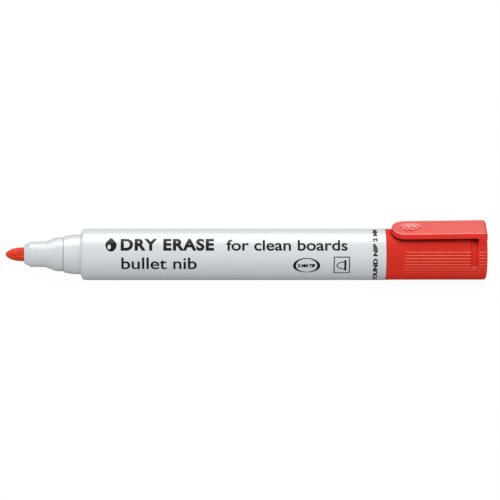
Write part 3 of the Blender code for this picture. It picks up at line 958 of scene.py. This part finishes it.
def arch(centre_x, centre_y, reach, half_height, steps=24):
    """Outline of a nib that points towards -X, from its upper rear corner round to its lower one."""
    points = []
    for i in range(steps + 1):
        turn = math.pi / 2 + math.pi * i / steps
        points.append((centre_x + reach * math.cos(turn), centre_y + half_height * math.sin(turn)))
    return points


def print_words(mats):
    """The title and the two plain lines of words."""
    lines = (
        ("print_title", "DRY ERASE", spot(34.9, 1.03), spot(62.9, 5.00), 0.042, 1.12),
        ("print_second_line", "bullet nib", spot(35.1, -4.75), spot(57.7, -0.95), 0.010, 1.0),
        ("print_use", "for clean boards", spot(66.6, 1.05), spot(103.0, 4.60), 0.016, 1.0),
    )
    for name, words, low, high, thicken, spacing in lines:
        layer = bmesh.new()
        flat_text(layer, words, low, high, thicken, spacing)
        printed(name, layer, mats)


def print_emblem(mats):
    """An ink drop with a glint left open in it."""
    steps = 72
    half_width, half_height = 1.70 * MM, 2.25 * MM
    glint_half_width, glint_half_height = 0.50 * MM, 0.72 * MM
    glint_left, glint_down = 0.55 * MM, 0.80 * MM
    point_taper, point_power = 0.72, 1.4
    centre = spot(32.0, 3.05)
    drop, glint = [], []
    for i in range(steps):
        turn = math.tau * i / steps
        along, across = math.sin(turn), math.cos(turn)
        taper = 1 - point_taper * max(0.0, along) ** point_power
        drop.append((centre[0] + half_width * across * taper, centre[1] + half_height * along))
        glint_x = centre[0] + glint_half_width * across - glint_left
        glint_y = centre[1] + glint_half_height * along - glint_down
        glint.append((glint_x, glint_y))
    layer = bmesh.new()
    flat_band(layer, drop, glint)
    printed("print_emblem", layer, mats)


def print_line_width(mats):
    """An oval ring with the line width in it."""
    centre = spot(90.7, -3.55)
    layer = bmesh.new()
    flat_band(layer, ellipse(centre, 4.07 * MM, 2.45 * MM), ellipse(centre, 3.20 * MM, 2.20 * MM))
    flat_text(layer, "2 MM TIP", spot(88.05, -4.10), spot(93.35, -3.00), thicken=0.07)
    printed("print_line_width", layer, mats)


def print_nib_sign(mats):
    """A square frame round the outline of a nib with its collar."""
    centre, stroke = spot(101.3, -3.50), 0.30 * MM
    half_width, half_height = 2.46 * MM, 2.80 * MM
    nib_reach, nib_half, collar_half = 2.35 * MM, 1.30 * MM, 1.75 * MM
    layer = bmesh.new()
    outer = rounded_box(centre, half_width, half_height, 0.20 * MM)
    inner = rounded_box(centre, half_width - stroke, half_height - stroke, 0.10 * MM)
    flat_band(layer, outer, inner)
    nib_rear = centre[0] + 0.75 * MM
    nib_outer = arch(nib_rear, centre[1], nib_reach, nib_half)
    nib_inner = arch(nib_rear, centre[1], nib_reach - stroke, nib_half - stroke)
    flat_band(layer, nib_outer, nib_inner)
    left, right = nib_rear, nib_rear + 2 * stroke
    collar = [(left, -collar_half), (right, -collar_half), (right, collar_half), (left, collar_half)]
    flat_outline(layer, [(u, centre[1] + v) for u, v in collar])
    printed("print_nib_sign", layer, mats)


def print_upright(mats):
    """Small words that read upwards next to the cap."""
    layer = bmesh.new()
    flat_text(layer, "ROUND NIB 2 MM", spot(110.7, -10.4), spot(112.1, 9.8), thicken=0.055, upright=True)
    printed("print_upright", layer, mats)


def make_print(mats):
    """All the print, which is generic marks only."""
    print_words(mats)
    print_emblem(mats)
    print_line_width(mats)
    print_nib_sign(mats)
    print_upright(mats)


# ---------------------------------------------------------------- stage


def make_floor():
    """White paper that the marker lies on. The camera sees it lit up, and other rays see it as a dim grey."""
    half = 3.0
    level = -BARREL_R
    mesh = bpy.data.meshes.new("floor")
    corners = [(-half, -half, level), (half, -half, level), (half, half, level), (-half, half, level)]
    mesh.from_pydata(corners, [], [(0, 1, 2, 3)])
    made, tree, shader, add = node_material("floor_paper")
    here = object_coordinates(tree, add)
    tone = remap(tree, add, pattern(tree, add, here, 3.0), 0.0, 1.0)
    colour = two_colours(tree, add, tone, (0.90, 0.90, 0.90), (0.93, 0.93, 0.93))
    tree.links.new(colour, shader.inputs["Base Color"])
    shader.inputs["Roughness"].default_value = 0.9
    shader.inputs["Specular IOR Level"].default_value = 0.0
    path = add("ShaderNodeLightPath")
    dim = add("ShaderNodeBsdfDiffuse", Color=(0.44, 0.45, 0.46, 1.0))
    glow = add("ShaderNodeEmission", Color=(1.0, 1.0, 1.0, 1.0), Strength=PAPER_GLOW)
    paper = add("ShaderNodeMixShader", Fac=PAPER_GLOW_SHARE)
    tree.links.new(shader.outputs["BSDF"], paper.inputs[1])
    tree.links.new(glow.outputs["Emission"], paper.inputs[2])
    chosen = add("ShaderNodeMixShader")
    tree.links.new(path.outputs["Is Camera Ray"], chosen.inputs["Fac"])
    tree.links.new(dim.outputs["BSDF"], chosen.inputs[1])
    tree.links.new(paper.outputs["Shader"], chosen.inputs[2])
    tree.links.new(chosen.outputs["Shader"], tree.nodes["Material Output"].inputs["Surface"])
    mesh.materials.append(made)
    floor = bpy.data.objects.new("floor", mesh)
    bpy.context.scene.collection.objects.link(floor)


def soft_light(name, direction, distance, size, power, target):
    """Rectangular soft light that faces target. Direction is given as (x, y, z) from the target."""
    data = bpy.data.lights.new(name, "AREA")
    data.shape = "RECTANGLE"
    data.size, data.size_y = size
    data.energy = power
    light = bpy.data.objects.new(name, data)
    away = Vector(direction).normalized()
    light.location = target + away * distance
    light.rotation_euler = away.to_track_quat("Z", "Y").to_euler()
    bpy.context.scene.collection.objects.link(light)
    return light


def make_lights():
    """A long strip overhead that shows in highlights only."""
    middle = Vector(((TIP_X + CAP_END_X) / 2, 0.0, 0.0))
    towards = (0.0, math.sin(STRIP_LEAN), math.cos(STRIP_LEAN))
    strip = soft_light("overhead", towards, STRIP_DISTANCE, STRIP_SIZE, STRIP_POWER, middle)
    strip.visible_diffuse = False
    strip.data.color = STRIP_COLOUR


def make_world():
    """Soft white light that is stronger from above and in front, and plain white where the camera sees it."""
    world = bpy.data.worlds.new("studio")
    world.use_nodes = True
    tree = world.node_tree
    background = tree.nodes["Background"]
    background.inputs["Color"].default_value = (1.0, 1.0, 1.0, 1.0)
    direction = tree.nodes.new("ShaderNodeTexCoord")
    slope = tree.nodes.new("ShaderNodeVectorMath")
    slope.operation = "DOT_PRODUCT"
    slope.inputs[1].default_value = WORLD_SLOPE
    level = tree.nodes.new("ShaderNodeMath")
    level.operation = "ADD"
    level.inputs[1].default_value = WORLD_STRENGTH
    tree.links.new(direction.outputs["Generated"], slope.inputs[0])
    tree.links.new(slope.outputs["Value"], level.inputs[0])
    tree.links.new(level.outputs["Value"], background.inputs["Strength"])
    backdrop = tree.nodes.new("ShaderNodeBackground")
    backdrop.inputs["Color"].default_value = (1.0, 1.0, 1.0, 1.0)
    path = tree.nodes.new("ShaderNodeLightPath")
    either = tree.nodes.new("ShaderNodeMixShader")
    tree.links.new(path.outputs["Is Camera Ray"], either.inputs["Fac"])
    tree.links.new(background.outputs["Background"], either.inputs[1])
    tree.links.new(backdrop.outputs["Background"], either.inputs[2])
    tree.links.new(either.outputs["Shader"], tree.nodes["World Output"].inputs["Surface"])
    bpy.context.scene.world = world


def make_camera():
    """Camera 30 degrees above the horizon, nearly square to the marker's side, from about a metre away."""
    stand_x, aim_x, aim_rise = behind_tip(53.6), behind_tip(73.84), 1.30 * MM
    up = Vector((0.0, math.sin(CAMERA_ELEVATION), math.cos(CAMERA_ELEVATION)))
    back = Vector((0.0, -math.cos(CAMERA_ELEVATION), math.sin(CAMERA_ELEVATION)))
    stand = Vector((stand_x, 0.0, 0.0)) + back * CAMERA_DISTANCE
    aim = Vector((aim_x, 0.0, 0.0)) + up * aim_rise
    data = bpy.data.cameras.new("camera")
    data.lens = CAMERA_LENS
    data.sensor_width = CAMERA_SENSOR
    data.clip_start = 0.01
    data.clip_end = 20.0
    camera = bpy.data.objects.new("camera", data)
    camera.location = stand
    backward = (stand - aim).normalized()
    upward = backward.cross(Vector((1.0, 0.0, 0.0))).normalized()
    rightward = upward.cross(backward)
    camera.rotation_euler = Matrix((rightward, upward, backward)).transposed().to_euler()
    bpy.context.scene.collection.objects.link(camera)
    bpy.context.scene.camera = camera


def build():
    """Everything, in order: the marker from tip to cap, its print, then the stage."""
    mats = make_materials()
    make_barrel(mats)
    make_nib_holder(mats)
    make_nib(mats)
    make_core(mats)
    make_end_plug(mats)
    make_liner(mats)
    make_cap(mats)
    make_clip(mats)
    make_print(mats)
    make_floor()
    make_lights()
    make_world()
    make_camera()
    bpy.context.scene.view_settings.view_transform = "Standard"


build()
